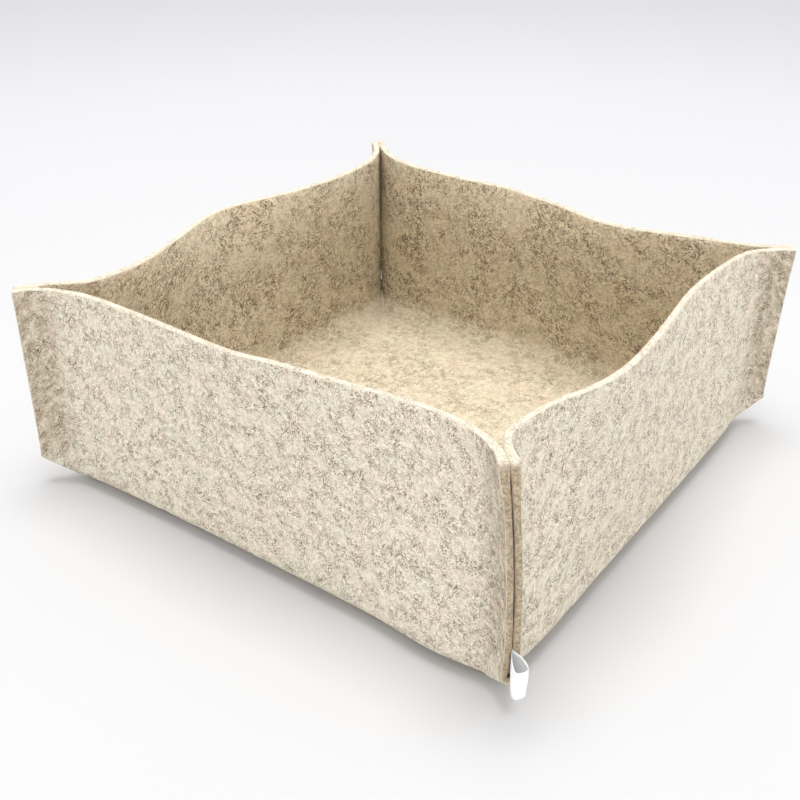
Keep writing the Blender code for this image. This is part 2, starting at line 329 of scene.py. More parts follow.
class NodeBoard:
    """Adds nodes to one node tree and links them as it goes."""

    def __init__(self, tree: bpy.types.NodeTree) -> None:
        """Keep the tree that the nodes go into."""
        self.tree = tree

    def give(self, node: bpy.types.Node, inputs: dict) -> None:
        """Set a node's inputs.

        Args:
            node: The node.
            inputs: Socket name or number to a value, or to a socket to link from.
        """
        for key, value in inputs.items():
            if isinstance(value, Socket):
                self.tree.links.new(value, node.inputs[key])
            else:
                node.inputs[key].default_value = value

    def add(self, kind: str, inputs: dict | None = None, **settings: object) -> bpy.types.Node:
        """Add a node.

        Args:
            kind: Blender's name for the node's type.
            inputs: Socket name or number to a value, or to a socket to link from.
            settings: Properties of the node.

        Returns:
            The node.
        """
        node = self.tree.nodes.new(kind)
        for key, value in settings.items():
            setattr(node, key, value)
        self.give(node, inputs or {})
        return node

    def math(self, operation: str, first: object, second: object) -> Socket:
        """Combine two numbers and return the result's socket."""
        return self.add("ShaderNodeMath", {0: first, 1: second}, operation=operation).outputs[0]

    def times(self, first: object, second: object) -> Socket:
        """Multiply two numbers and return the result's socket."""
        return self.math("MULTIPLY", first, second)

    def vector(self, operation: str, first: object, second: object) -> Socket:
        """Combine two vectors and return the result's socket."""
        return self.add("ShaderNodeVectorMath", {0: first, 1: second}, operation=operation).outputs[0]

    def noise(self, place: object, scale: float, detail: float, output: str = "Fac") -> Socket:
        """Add a noise pattern and return its socket."""
        made = self.add("ShaderNodeTexNoise", {"Vector": place, "Scale": scale, "Detail": detail})
        return made.outputs[output]

    def ramp(self, value: object, low: float, high: float, start: float = 0.0, end: float = 1.0) -> Socket:
        """Ease a number from one range to another and return the result's socket."""
        span = {0: value, 1: low, 2: high, 3: start, 4: end}
        return self.add("ShaderNodeMapRange", span, interpolation_type="SMOOTHSTEP").outputs[0]

    def mottle(self, place: object, grain: Grain) -> Socket:
        """Lay a grain's pattern and return its socket."""
        value = self.noise(place, grain.scale, grain.detail)
        return self.ramp(value, grain.low, grain.high, grain.start, grain.end)

    def mix(self, part: object, first: object, second: object, blend: str = "MIX") -> Socket:
        """Mix two colours and return the result's socket."""
        made = self.add("ShaderNodeMix", {0: part, 6: first, 7: second}, data_type="RGBA", blend_type=blend)
        return made.outputs[2]

    def attribute(self, name: str) -> Socket:
        """Read one of the piece's own attributes as a number."""
        return self.add("ShaderNodeAttribute", attribute_name=name).outputs["Fac"]

    def solid(self) -> Socket:
        """The place in the piece's own space, in metres."""
        return self.add("ShaderNodeTexCoord").outputs["Object"]


def new_material(name: str) -> tuple[bpy.types.Material, NodeBoard, bpy.types.Node]:
    """Start a material with nodes.

    Args:
        name: Name of the material.

    Returns:
        The material, a board for its nodes, and its Principled shader.
    """
    material = bpy.data.materials.new(name)
    material.use_nodes = True
    return material, NodeBoard(material.node_tree), material.node_tree.nodes["Principled BSDF"]


@dataclass(frozen=True)
class Strokes:
    """Short fibres lying every way: their size in metres, their turns in degrees and where they show."""

    length: float
    width: float
    turns: Sequence[float]
    cut: Band
    layers: float = 400.0
    shift: tuple[float, float, float] = (0.37, 0.19, 0.011)

    def lay(self, board: NodeBoard, place: Socket) -> Socket:
        """Lay the fibres.

        Args:
            board: Board that takes the nodes.
            place: Coordinates on the flat sheet, in metres.

        Returns:
            A socket that is 1 on fibres and 0 between them.
        """
        total: Socket | float = 0.0
        stretch = (1.0 / self.length, 1.0 / self.width, self.layers)
        for number, turn in enumerate(self.turns):
            turned = board.add("ShaderNodeVectorRotate", {"Vector": place, "Angle": math.radians(turn)},
                               rotation_type="Z_AXIS").outputs[0]
            moved = board.vector("ADD", turned, tuple(number * part for part in self.shift))
            value = board.noise(board.vector("MULTIPLY", moved, stretch), 1.0, 1.0)
            total = board.math("MAXIMUM", total, board.ramp(value, *self.cut))
        return total


@dataclass(frozen=True)
class FeltFinish:
    """Pressed wool: a cream ground with short grey-brown and pale fibres lying every way."""

    ground: Colour = (0.80, 0.730, 0.605, 1.0)
    shade: Colour = (0.53, 0.455, 0.340, 1.0)
    dark_fibre: Colour = (0.125, 0.082, 0.042, 1.0)
    pale_fibre: Colour = (0.93, 0.875, 0.76, 1.0)
    warm_tint: Colour = (1.0, 0.970, 0.945, 1.0)
    cool_tint: Colour = (0.97, 0.99, 0.955, 1.0)
    # Painted shade for the inner faces: darker and warmer, for the shade and warm bounce light inside the box
    painted_inside_shade: Colour = (0.93, 0.89, 0.82, 1.0)
    rim: Colour = (0.80, 0.735, 0.615, 1.0)
    raw_edge: Colour = (0.53, 0.42, 0.28, 1.0)
    raw_shade: Colour = (0.27, 0.20, 0.12, 1.0)
    # Darker brown for the seams and fins: partly a real brown tint, partly painted shade in the groove and
    # the fin's bend
    seam_tint_and_shade: Colour = (0.52, 0.45, 0.37, 1.0)
    specks: Grain = Grain(900.0, 2.0, 0.57, 0.67)
    patches: Grain = Grain(85.0, 4.0, 0.36, 0.62, 0.38)
    clouds: Grain = Grain(230.0, 4.0, 0.38, 0.62)
    hues: Grain = Grain(60.0, 3.0, 0.36, 0.64)
    streaks: Grain = Grain(150.0, 3.0, 0.36, 0.62, 0.30, 0.95)
    raw_mottle: Grain = Grain(560.0, 3.0, 0.34, 0.66)
    dark_strokes: Strokes = Strokes(0.0036, 0.00075, (8, 53, 98, 143), (0.60, 0.70))
    pale_strokes: Strokes = Strokes(0.0036, 0.0008, (22, 83, 144), (0.54, 0.66))
    inside_scale: float = 0.55
    inside_lift: float = 0.5
    wander_scale: float = 300.0
    wander: tuple[float, float, float] = (0.0030, 0.0030, 0.0)
    dark_share: float = 0.85
    pale_share: float = 0.60
    rim_share: float = 0.35
    raw_share: float = 0.88
    base_calm: float = 0.42
    base_levels: Band = (0.008, 0.028)
    # Where on the raw edge the painted highlight of its outer corner fades out
    lit_corner: Band = (0.14, 0.24)
    grain_scale: float = 1100.0
    grain_share: float = 0.6
    bump: float = 0.50
    bump_height: float = 0.0004

    def make(self) -> bpy.types.Material:
        """Build the felt's material.

        Returns:
            The material, which reads the felt's cut plan and its attributes.
        """
        material, board, shader = new_material("mottled_wool_felt")
        plan = board.add("ShaderNodeUVMap", uv_map="cut_plan").outputs[0]
        inner, cut, rim, seam_tint_and_shade = (board.attribute(name) for name in ("inner", "cut", "rim", "seam_tint_and_shade"))
        lift = board.add("ShaderNodeCombineXYZ", {2: board.times(inner, self.inside_lift)}).outputs[0]
        coarser = board.ramp(inner, 0.0, 1.0, FELT_PLAN, FELT_PLAN * self.inside_scale)
        solid = board.solid()
        place = board.mix(cut, board.vector("ADD", board.vector("MULTIPLY", plan, coarser), lift), solid)
        aside = board.vector("SUBTRACT", board.noise(place, self.wander_scale, 1.0, "Color"), (0.5, 0.5, 0.5))
        bent = board.vector("ADD", place, board.vector("MULTIPLY", aside, self.wander))
        dark = board.math("MAXIMUM", self.dark_strokes.lay(board, bent), board.mottle(place, self.specks))
        pale = self.pale_strokes.lay(board, bent)
        patches = board.mottle(place, self.patches)
        shaded = board.times(board.mottle(place, self.clouds), patches)
        colour = board.mix(shaded, self.ground, self.shade)
        colour = board.mix(board.times(pale, self.pale_share), colour, self.pale_fibre)
        level = board.add("ShaderNodeSeparateXYZ", {0: solid}).outputs["Z"]
        on_base = board.times(inner, board.ramp(level, *self.base_levels, 1.0, 0.0))
        share = board.math("SUBTRACT", self.dark_share, board.times(on_base, self.base_calm))
        colour = board.mix(board.times(board.times(dark, patches), share), colour, self.dark_fibre)
        hue = board.mix(board.mottle(place, self.hues), self.warm_tint, self.cool_tint)
        colour = board.mix(1.0, colour, hue, "MULTIPLY")
        streaks = board.mottle(place, self.streaks)
        # Painted shade along the seam's groove and in the fin's concave bend, mixed with a real brown tint
        # there
        colour = board.mix(board.times(seam_tint_and_shade, streaks), colour, self.seam_tint_and_shade, "MULTIPLY")
        # Painted shade: the inner faces are multiplied darker and warmer, for the shade and warm bounce light
        # inside the box
        colour = board.mix(inner, colour, board.mix(1.0, colour, self.painted_inside_shade, "MULTIPLY"))
        colour = board.mix(board.times(board.times(cut, rim), self.rim_share), colour, self.rim)
        on_raw = board.times(cut, board.math("SUBTRACT", 1.0, rim))
        raw = board.mix(board.mottle(solid, self.raw_mottle), self.raw_edge, self.raw_shade)
        # Painted highlight: the raw edge's outer corner is mixed to the pale rim colour, as if lit from the
        # side
        raw = board.mix(board.ramp(inner, *self.lit_corner, 1.0, 0.0), raw, self.rim)
        colour = board.mix(board.times(on_raw, self.raw_share), colour, raw)
        grain = board.times(board.noise(bent, self.grain_scale, 2.0), self.grain_share)
        height = board.math("ADD", grain, board.math("SUBTRACT", pale, dark))
        bump = board.add("ShaderNodeBump",
                         {"Strength": self.bump, "Distance": self.bump_height, "Height": height})
        board.give(shader, {"Base Color": colour, "Normal": bump.outputs[0], "Roughness": 0.95,
                            "Specular IOR Level": 0.15, "Sheen Weight": 0.12, "Sheen Roughness": 0.6})
        return material


@dataclass(frozen=True)
class FibreFinish:
    """Loose wool hairs on the felt, from dark brown to cream by each hair's own tone."""

    dark: Colour = (0.20, 0.150, 0.11, 1.0)
    middle: Colour = (0.56, 0.48, 0.37, 1.0)
    pale: Colour = (0.86, 0.80, 0.68, 1.0)
    middle_tones: Band = (0.16, 0.34)
    pale_tones: Band = (0.34, 0.60)
    shades: Grain = Grain(600.0, 1.0, 0.3, 0.7, 0.82)

    def make(self) -> bpy.types.Material:
        """Build the hairs' material.

        Returns:
            The material, which reads each hair's tone.
        """
        material, board, shader = new_material("loose_wool_hairs")
        tone = board.attribute("tone")
        colour = board.mix(board.ramp(tone, *self.middle_tones), self.dark, self.middle)
        colour = board.mix(board.ramp(tone, *self.pale_tones), colour, self.pale)
        colour = board.mix(1.0, colour, board.mottle(board.solid(), self.shades), "MULTIPLY")
        board.give(shader, {"Base Color": colour, "Roughness": 0.85, "Specular IOR Level": 0.2})
        return material


@dataclass(frozen=True)
class ThreadFinish:
    """Two-ply sewing thread in the felt's own beige."""

    light: Colour = (0.70, 0.62, 0.49, 1.0)
    dark: Colour = (0.46, 0.38, 0.27, 1.0)

    def make(self) -> bpy.types.Material:
        """Build the thread's material.

        Returns:
            The material.
        """
        material, board, shader = new_material("beige_thread")
        waves = {"Vector": board.solid(), "Scale": 900.0, "Distortion": 1.5}
        ply = board.add("ShaderNodeTexWave", waves, bands_direction="DIAGONAL").outputs["Fac"]
        board.give(shader, {"Base Color": board.mix(ply, self.dark, self.light), "Roughness": 0.7})
        return material


@dataclass(frozen=True)
class RibbonFinish:
    """White satin ribbon with a fine weave and a soft gloss."""

    white: Colour = (0.90, 0.90, 0.90, 1.0)
    shadow: Colour = (0.84, 0.84, 0.84, 1.0)
    threads: float = 700.0
    warp_share: float = 0.35
    weft_share: float = 0.65
    weave_cut: Band = (0.1, 0.8)

    def make(self) -> bpy.types.Material:
        """Build the ribbon's material.

        Returns:
            The material, which reads the ribbon's flat plan.
        """
        material, board, shader = new_material("white_satin_ribbon")
        plan = board.add("ShaderNodeUVMap", uv_map="ribbon_plan").outputs[0]
        place = board.vector("MULTIPLY", plan, (RIBBON_PLAN, RIBBON_PLAN, RIBBON_PLAN))
        waves = {"Vector": place, "Scale": self.threads, "Distortion": 0.3, "Detail": 1.0}
        warp, weft = (board.add("ShaderNodeTexWave", waves, bands_direction=way).outputs["Fac"]
                      for way in "XY")
        weave = board.math("ADD", board.times(warp, self.warp_share), board.times(weft, self.weft_share))
        colour = board.mix(board.ramp(weave, *self.weave_cut), self.shadow, self.white)
        bump = board.add("ShaderNodeBump", {"Strength": 0.25, "Distance": 0.00008, "Height": weave})
        board.give(shader, {"Base Color": colour, "Normal": bump.outputs[0], "Roughness": 0.38,
                            "Anisotropic": 0.4, "Subsurface Weight": 0.25,
                            "Subsurface Radius": (0.001, 0.001, 0.001)})
        return material


@dataclass(frozen=True)
class FloorFinish:
    """Plain matt white studio paper, its colour painted a little brighter far from the object: painted light
    for the studio light's uneven fall.
    """

    near: Colour = (0.600, 0.600, 0.605, 1.0)
    far: Colour = (0.660, 0.660, 0.670, 1.0)
    brighter: Band = (0.5, 1.5)
    uneven: float = 0.2

    def make(self) -> bpy.types.Material:
        """Build the paper's material.

        Returns:
            The material.
        """
        material, board, shader = new_material("white_paper")
        place = board.solid()
        away = board.add("ShaderNodeVectorMath", {0: place}, operation="LENGTH").outputs["Value"]
        away = board.math("ADD", away, board.times(board.noise(place, 2.0, 1.0), self.uneven))
        colour = board.mix(board.ramp(away, *self.brighter), self.near, self.far)
        board.give(shader, {"Base Color": colour, "Roughness": 0.9, "Specular IOR Level": 0.0})
        return material


@dataclass(frozen=True)
class Ring:
    """One level of the sheet's middle surface."""

    height: float
    reach: float
    tip: float
    spread: float
    is_open: bool


@dataclass
class FeltSheet:
    """The cross-cut felt sheet, folded up to a box and pinched at its corners."""

    thickness: float = 0.0050
    outer_width: float = 0.400
    rim_height: float = 0.1688
    fold_outer_radius: float = 0.020
    fin_gap: float = 0.0009
    fin_tip: float = 0.2970
    fin_bend_radius: float = 0.030
    flank_left: float = 0.15
    notch_height: float = 0.0240
    notch_open_height: float = 0.0275
    notch_setback: float = 0.0012
    notch_stretch: float = 1.5
    foot_extra: float = 0.0018
    foot_extra_top: float = 0.060
    ear_round: float = 0.038
    ear_slope: float = math.radians(37.5)
    ear_spread: float = math.radians(30.0)
    ear_closed_height: float = 0.016
    lean_power: float = 1.3
    lean_run: float = 0.050
    edge_bulge: float = 0.0008
    edge_pinch: float = -0.0007
    top_swell: float = 0.0008
    groove_inset: float = 0.0118
    groove_depth: float = 0.0007
    groove_width: float = 0.0014
    groove_part: float = 0.75
    groove_foot: Band = (0.034, 0.042)
    seam_foot: float = 0.040
    seam_width: float = 0.0035
    seam_slit: float = 0.00003
    most_closing: float = 0.0030
    closing_foot: Band = (0.007, 0.001)
    closing_rim: Band = (0.012, 0.007)
    closing_reach: Band = (0.014, 0.019)
    # The band of painted shade and brown tint beside each fin's raw edge, where the wall bends out into the
    # fin
    fin_shade_and_tint: float = 0.75
    fin_shade_reach: Band = (0.034, 0.016)
    fin_shade_foot: Band = (0.015, 0.040)
    underside_height: float = 0.006
    pinched_width: float = 0.016
    pinched_reach: Band = (0.022, 0.012)
    pinched_calm: float = 0.8
    level_normals: Band = (0.80, 0.98)
    swell_rim: Band = (0.032, 0.006)
    swell_reach: Band = (0.003, 0.011)
    fold_steps: int = 10
    wall_steps: int = 72
    bend_steps: int = 9
    flank_steps: int = 8
    tip_steps: int = 5
    wall_levels: int = 40
    edge_steps: int = 5
    edge_power: float = 0.75
    edge_plan_step: tuple[float, float] = (0.0007, 0.0004)
    base_margin: float = 0.010

    def __post_init__(self) -> None:
        """Work out the sizes that follow from the fields."""
        self.half = self.thickness / 2.0
        self.wall_mid = self.outer_width / 2.0 - self.half
        self.fold_radius = self.fold_outer_radius - self.half
        self.fold_top = self.half + self.fold_radius
        self.seam_paths: list[tuple[np.ndarray, np.ndarray]] = []

    def ear_reach(self, height: float) -> float:
        """How far out along the diagonal the folded lower edge of an ear has come.

        Args:
            height: Height above the floor.

        Returns:
            Distance from the box's middle.
        """
        arc_rise = self.ear_round * (1.0 - math.cos(self.ear_slope))
        arc_run = self.ear_round * math.sin(self.ear_slope)
        straight_run = (self.notch_height - self.half - arc_rise) / math.tan(self.ear_slope)
        start = self.fin_tip - self.notch_setback - arc_run - straight_run
        rise = height - self.half
        if rise <= arc_rise:
            return start + math.sqrt(rise * (2.0 * self.ear_round - rise))
        return start + arc_run + (rise - arc_rise) / math.tan(self.ear_slope)

    def fin_half(self, height: float) -> float:
        """Half the distance between a fin's layers, wider at its foot."""
        part = (height - self.notch_height) / (self.foot_extra_top - self.notch_height)
        return self.half + self.fin_gap / 2.0 + self.foot_extra * (1.0 - min(max(part, 0.0), 1.0)) ** 2

    def spread_at(self, height: float) -> float:
        """Half angle between an ear's flanks, closing as the sheet rises."""
        return self.ear_spread * (1.0 - float(smooth_step(self.half, self.ear_closed_height, height)))

    def rings(self) -> list[Ring]:
        """Set out the sheet's rings.

        Returns:
            The rings, from inside the flat base up to the rim.
        """
        first = Ring(self.half, self.wall_mid - self.fold_radius - self.base_margin,
                     self.ear_reach(self.half) - ROOT_TWO * self.base_margin, self.ear_spread, False)
        rings = [first]
        for step in range(self.fold_steps + 1):
            angle = math.radians(90.0) * step / self.fold_steps
            height = self.half + self.fold_radius * (1.0 - math.cos(angle))
            reach = self.wall_mid - self.fold_radius * (1.0 - math.sin(angle))
            rings.append(Ring(height, reach, self.ear_reach(height), self.spread_at(height), False))
        rings.append(Ring(self.notch_height, self.wall_mid, self.fin_tip - self.notch_setback, 0.0, False))
        for step in range(self.wall_levels + 1):
            rise = (self.rim_height - self.notch_open_height) * step / self.wall_levels
            rings.append(Ring(self.notch_open_height + rise, self.wall_mid, self.fin_tip, 0.0, True))
        return rings

    def tip_curve(self, ring: Ring) -> list[tuple[float, float]]:
        """The last stretch of a ring up to the diagonal.

        Args:
            ring: The ring's level.

        Returns:
            Points as (along the diagonal, off it).
        """
        half = self.fin_half(ring.height)
        centre = ring.tip / self.notch_stretch - half
        start = math.atan(self.notch_stretch * math.tan(ring.spread))
        points = []
        for step in range(self.tip_steps + 1):
            angle = start + (math.radians(90.0) - start) * step / self.tip_steps
            off = half if ring.is_open else half * math.cos(angle)
            points.append((self.notch_stretch * (centre + half * math.sin(angle)), off))
        return points

    def corner_curve(self, ring: Ring) -> list[tuple[float, float]]:
        """Half a corner in plan: bend, flank and tip.

        Args:
            ring: The ring's level.

        Returns:
            Points as (along the diagonal, off it), from the wall's end to the tip.
        """
        tip = self.tip_curve(ring)
        tip_along, tip_off = tip[0]
        slope = math.tan(ring.spread)
        meet_along = (ROOT_TWO * ring.reach - tip_off - tip_along * slope) / (1.0 - slope)
        meet_off = ROOT_TWO * ring.reach - meet_along
        turn = math.radians(45.0) - ring.spread
        flank = (tip_along - meet_along) / math.cos(ring.spread)
        tangent = min(self.fin_bend_radius * math.tan(turn / 2.0), flank * (1.0 - self.flank_left))
        radius = tangent / math.tan(turn / 2.0)
        centre_along = meet_along + (radius - tangent) / ROOT_TWO
        centre_off = meet_off + (radius + tangent) / ROOT_TWO
        points = []
        for step in range(self.bend_steps + 1):
            angle = math.radians(45.0) - turn * step / self.bend_steps
            points.append((centre_along - radius * math.sin(angle), centre_off - radius * math.cos(angle)))
        bend_end = points[-1]
        for step in range(1, self.flank_steps):
            part = step / self.flank_steps
            points.append((bend_end[0] + (tip_along - bend_end[0]) * part,
                           bend_end[1] + (tip_off - bend_end[1]) * part))
        return points + tip

    def outline(self, ring: Ring) -> np.ndarray:
        """One wall's stretch of a ring in plan, tip to tip.

        Args:
            ring: The ring's level.

        Returns:
            Rows of (along the wall, out from the middle).
        """
        corner = [((along - off) / ROOT_TWO, (along + off) / ROOT_TWO)
                  for along, off in self.corner_curve(ring)]
        end = corner[0][0]
        wall = [(end * (2.0 * step / self.wall_steps - 1.0), ring.reach)
                for step in range(1, self.wall_steps)]
        return np.array([(-along, out) for along, out in reversed(corner)] + wall + corner)

    def off_square(self, points: np.ndarray) -> np.ndarray:
        """Shift points of the true square box to where the uneven box has them.

        Args:
            points: Places in the true square box.

        Returns:
            The shifted places.
        """
        corner = self.fin_tip / ROOT_TWO
        part = np.maximum(points[:, 2] - self.notch_height, 0.0) / (self.rim_height - self.notch_height)
        belly = np.sin(np.pi * np.minimum(part, 1.0))
        shift = np.zeros_like(points)
        for side_x, side_y, foot_x, foot_y, belly_x, belly_y, rim_x, rim_y, rim_z in CORNERS:
            weight = (1.0 + side_x * points[:, 0] / corner) * (1.0 + side_y * points[:, 1] / corner) / 4.0
            shift[:, 0] += weight * (foot_x + (rim_x - foot_x) * part + belly_x * belly) * MM
            shift[:, 1] += weight * (foot_y + (rim_y - foot_y) * part + belly_y * belly) * MM
            shift[:, 2] += weight * rim_z * part * MM
        for side_x, side_y, out_foot, out_rim, aside_foot, aside_rim in FIN_LEANS:
            along = (side_x * points[:, 0] + side_y * points[:, 1]) / ROOT_TWO
            weight = smooth_step(self.fin_tip - self.lean_run, self.fin_tip, along) * MM
            weight = weight * smooth_step(0.0, self.notch_height, points[:, 2])
            out = weight * (out_foot + (out_rim - out_foot) * part)
            aside = weight * (aside_foot + (aside_rim - aside_foot) * part)
            shift[:, 0] += (side_x * out - side_y * aside) / ROOT_TWO
            shift[:, 1] += (side_y * out + side_x * aside) / ROOT_TWO
        return points + shift

    def wall_points(self, wall: Wall, outline: np.ndarray, height: float) -> np.ndarray:
        """Bring one wall's stretch of a ring into space.

        Args:
            wall: Which wall it is.
            outline: Rows of (along the wall, out from the middle).
            height: The ring's height.

        Returns:
            Rows of x, y, z.
        """
        along, out = outline.T
        above = max(height - self.fold_top, 0.0)
        lean = (above / (self.rim_height - self.fold_top)) ** self.lean_power
        wave = smooth_table(RIM_WAVES[wall], along) * lean
        drop = wave * wave / (2.0 * above) if above > 0.0 else 0.0 * wave
        out = out + wave + smooth_table(FOOT_WAVES[wall], along) * (1.0 - lean)
        turn = math.radians(90.0) * wall.value
        points = np.stack([along * math.cos(turn) + out * math.sin(turn),
                           along * math.sin(turn) - out * math.cos(turn),
                           height - drop], axis=1)
        return self.off_square(points)

    def flat_plan(self, places: np.ndarray) -> np.ndarray:
        """Lay the walls flat beside the base, as the sheet was cut.

        Args:
            places: The middle surface, by ring, wall and column.

        Returns:
            Flat places in metres, by ring, wall and column.
        """
        step_up = np.linalg.norm(np.diff(places, axis=0), axis=3)
        climb = np.concatenate([np.zeros_like(step_up[:1]), np.cumsum(step_up, axis=0)])
        step_on = np.linalg.norm(np.diff(places, axis=2), axis=3)
        run = np.concatenate([np.zeros_like(step_on[:, :, :1]), np.cumsum(step_on, axis=2)], axis=2)
        run -= run[:, :, run.shape[2] // 2][:, :, None]
        run -= run[:1]
        flat = np.repeat(places[:1, :, :, :2], len(places), axis=0)
        for wall in Wall:
            turn = math.radians(90.0) * wall.value
            outwards = np.array((math.sin(turn), -math.cos(turn)))
            onwards = np.array((math.cos(turn), math.sin(turn)))
            flat[:, wall.value] += climb[:, wall.value, :, None] * outwards
            flat[:, wall.value] += run[:, wall.value, :, None] * onwards
        return flat

    def base_grid(self, ring: np.ndarray) -> np.ndarray:
        """Fill the innermost ring with a smooth grid.

        Args:
            ring: The ring's places by wall and column.

        Returns:
            The grid's places, by step in x and step in y.
        """
        south, east, north, west = ring[0], ring[1], ring[2][::-1], ring[3][::-1]
        part = np.linspace(0.0, 1.0, len(south))
        u, v = part[:, None, None], part[None, :, None]
        grid = (1 - v) * south[:, None] + v * north[:, None] + (1 - u) * west[None] + u * east[None]
        grid -= (1 - u) * (1 - v) * south[0] + u * (1 - v) * south[-1]
        grid -= (1 - u) * v * north[0] + u * v * north[-1]
        return grid

    def build(self, finish: bpy.types.Material) -> bpy.types.Object:
        """Make the sheet's closed mesh with its cut plan and its shading attributes.

        Args:
            finish: The felt's material.

        Returns:
            The felt piece.
        """
        rings = self.rings()
        outlines = [self.outline(ring) for ring in rings]
        places = np.array([[self.wall_points(wall, outline, ring.height) for wall in Wall]
                           for ring, outline in zip(rings, outlines)])
        flat = self.flat_plan(places)
        last = places.shape[2] - 1
        edge_gap = np.array([ring.tip - (np.abs(line[:, 0]) + line[:, 1]) / ROOT_TWO
                             for ring, line in zip(rings, outlines)])
        vertices: list[tuple] = []

        def number_of(*vertex: object) -> int:
            """Keep a vertex's place and its distances from raw edge, rim and diagonal; return its number."""
            vertices.append(vertex)
            return len(vertices) - 1

        ids = np.zeros(places.shape[:3], int)
        for level, ring in enumerate(rings):
            below = self.rim_height - ring.height
            for wall, column in np.ndindex(4, last + 1):
                if ring.is_open or column < last:
                    along, out = outlines[level][column]
                    ids[level, wall, column] = number_of(places[level, wall, column], edge_gap[level, column],
                                                         below, (out - abs(along)) / ROOT_TWO)
            if not ring.is_open:
                ids[level, :, last] = np.roll(ids[level, :, 0], -1)
        grid = self.base_grid(places[0])
        grid_ids = np.zeros((last + 1, last + 1), int)
        grid_ids[:, 0], grid_ids[last, :] = ids[0, 0], ids[0, 1]
        grid_ids[:, last], grid_ids[0, :] = ids[0, 2][::-1], ids[0, 3][::-1]
        for i, j in np.ndindex(last - 1, last - 1):
            grid_ids[i + 1, j + 1] = number_of(grid[i + 1, j + 1], 1.0, self.rim_height, 1.0)
        middle = np.array([vertex[0] for vertex in vertices])
        gaps, below_rim, off = np.array([vertex[1:] for vertex in vertices]).T

        quads = np.concatenate([cells(grid_ids, 1), cells(ids, 2)])
        plans = np.concatenate([cells(grid[..., :2], 1), cells(flat, 2)])
        low = np.array([ring.height < self.underside_height for ring in rings[:-1]])
        opened = np.array([ring.is_open for ring in rings[:-1]])
        pinched = opened[:, None] & (edge_gap[:-1, :-1] < self.pinched_width)
        outside = np.where(low, Region.UNDERSIDE.value, Region.OUTSIDE.value)
        inside = np.where(pinched, Region.PINCHED.value, Region.INSIDE.value)
        regions = [np.full(last * last, Region.UNDERSIDE.value), np.repeat(outside, 4 * last),
                   np.full(last * last, Region.BASE.value), np.repeat(inside[:, None], 4, axis=1).ravel()]

        a, b, c, d = (middle[quads[:, corner]] for corner in range(4))
        across = np.cross(c - a, d - b)
        normals = np.zeros_like(middle)
        for corner in range(4):
            np.add.at(normals, quads[:, corner], across)
        normals = unit(normals)
        groove = np.exp(-(((gaps - self.groove_inset) / self.groove_width) ** 2))
        groove *= smooth_step(*self.groove_foot, middle[:, 2])
        groove *= self.groove_part + lumps(middle, GROOVE_LUMPS)
        # Painted shade with a brown tint: darker along the stitched groove and in a band beside each raw
        # edge, where the fin bends out
        fin_shade_band = self.fin_shade_and_tint * smooth_step(*self.fin_shade_reach, gaps)
        seam_tint_and_shade = np.maximum(groove, fin_shade_band * smooth_step(*self.fin_shade_foot, middle[:, 2]))
        flatness = smooth_step(*self.level_normals, -normals[:, 2])
        calm = self.pinched_calm * (1.0 - smooth_step(*self.pinched_reach, gaps))
        outer_lumps = lumps(middle, OUTER_LUMPS) * (1.0 - flatness)
        inner_lumps = lumps(middle, INNER_LUMPS) * (1.0 - calm)
        inner_lumps += lumps(middle, BASE_LUMPS) * flatness
        swell = self.edge_pinch + (self.top_swell - self.edge_pinch) * smooth_step(*self.swell_rim, below_rim)
        swell *= 1.0 - smooth_step(*self.swell_reach, gaps)
        outer = middle + normals * (self.half + outer_lumps + swell - self.groove_depth * groove)[:, None]
        closing = self.closing(middle, gaps, below_rim, off)
        inner = middle - normals * (self.half + inner_lumps + closing)[:, None]

        count = len(middle)
        first_open = next(level for level, ring in enumerate(rings) if ring.is_open)
        top = len(rings) - 1
        loop: list[tuple[int, int, int, int]] = []
        for wall in range(4):
            loop += [(level, wall, 0, 0) for level in range(first_open - 1, top)]
            loop += [(top, wall, column, 1) for column in range(last + 1)]
            loop += [(level, wall, last, 0) for level in range(top - 1, first_open - 1, -1)]
        where = np.array(loop)
        loop_ids, loop_flat = (table[tuple(where[:, :3].T)] for table in (ids, flat))
        on_rim = where[:, 3].astype(float)
        loop_middle, loop_normals = middle[loop_ids], normals[loop_ids]
        tangent = unit(np.roll(loop_middle, -1, axis=0) - np.roll(loop_middle, 1, axis=0))
        outwards = unit(np.cross(loop_normals, tangent))
        around = len(loop)
        rows = []
        for step in range(1, self.edge_steps + 1):
            side = math.cos(math.pi * step / (self.edge_steps + 1))
            side = math.copysign(abs(side) ** self.edge_power, side) if abs(side) > TINY else 0.0
            rough = lumps(loop_middle + loop_normals * side * self.half, EDGE_LUMPS)
            bulge = self.edge_bulge * (1.0 - side**4) + rough
            reach = self.half + (swell[loop_ids] if side > 0.0 else closing[loop_ids])
            rows.append(loop_middle + loop_normals * (side * reach)[:, None] + outwards * bulge[:, None])

        faces = [quads, count + quads[:, ::-1]]
        uvs = [plans, plans[:, ::-1]]
        following = np.roll(np.arange(around), -1)
        ends = np.stack([loop_flat, loop_flat[following], loop_flat[following], loop_flat], axis=1)
        new_ids = 2 * count + np.arange(self.edge_steps * around).reshape(-1, around)
        strips = [loop_ids, *new_ids, count + loop_ids]
        for number, (near, far) in enumerate(zip(strips, strips[1:])):
            faces.append(np.stack([near, near[following], far[following], far], axis=1))
            uvs.append(ends + np.array(self.edge_plan_step) * number)
            is_rim = (on_rim > 0.0) & (on_rim[following] > 0.0)
            regions.append(np.where(is_rim, Region.RIM.value, Region.RAW_EDGE.value))

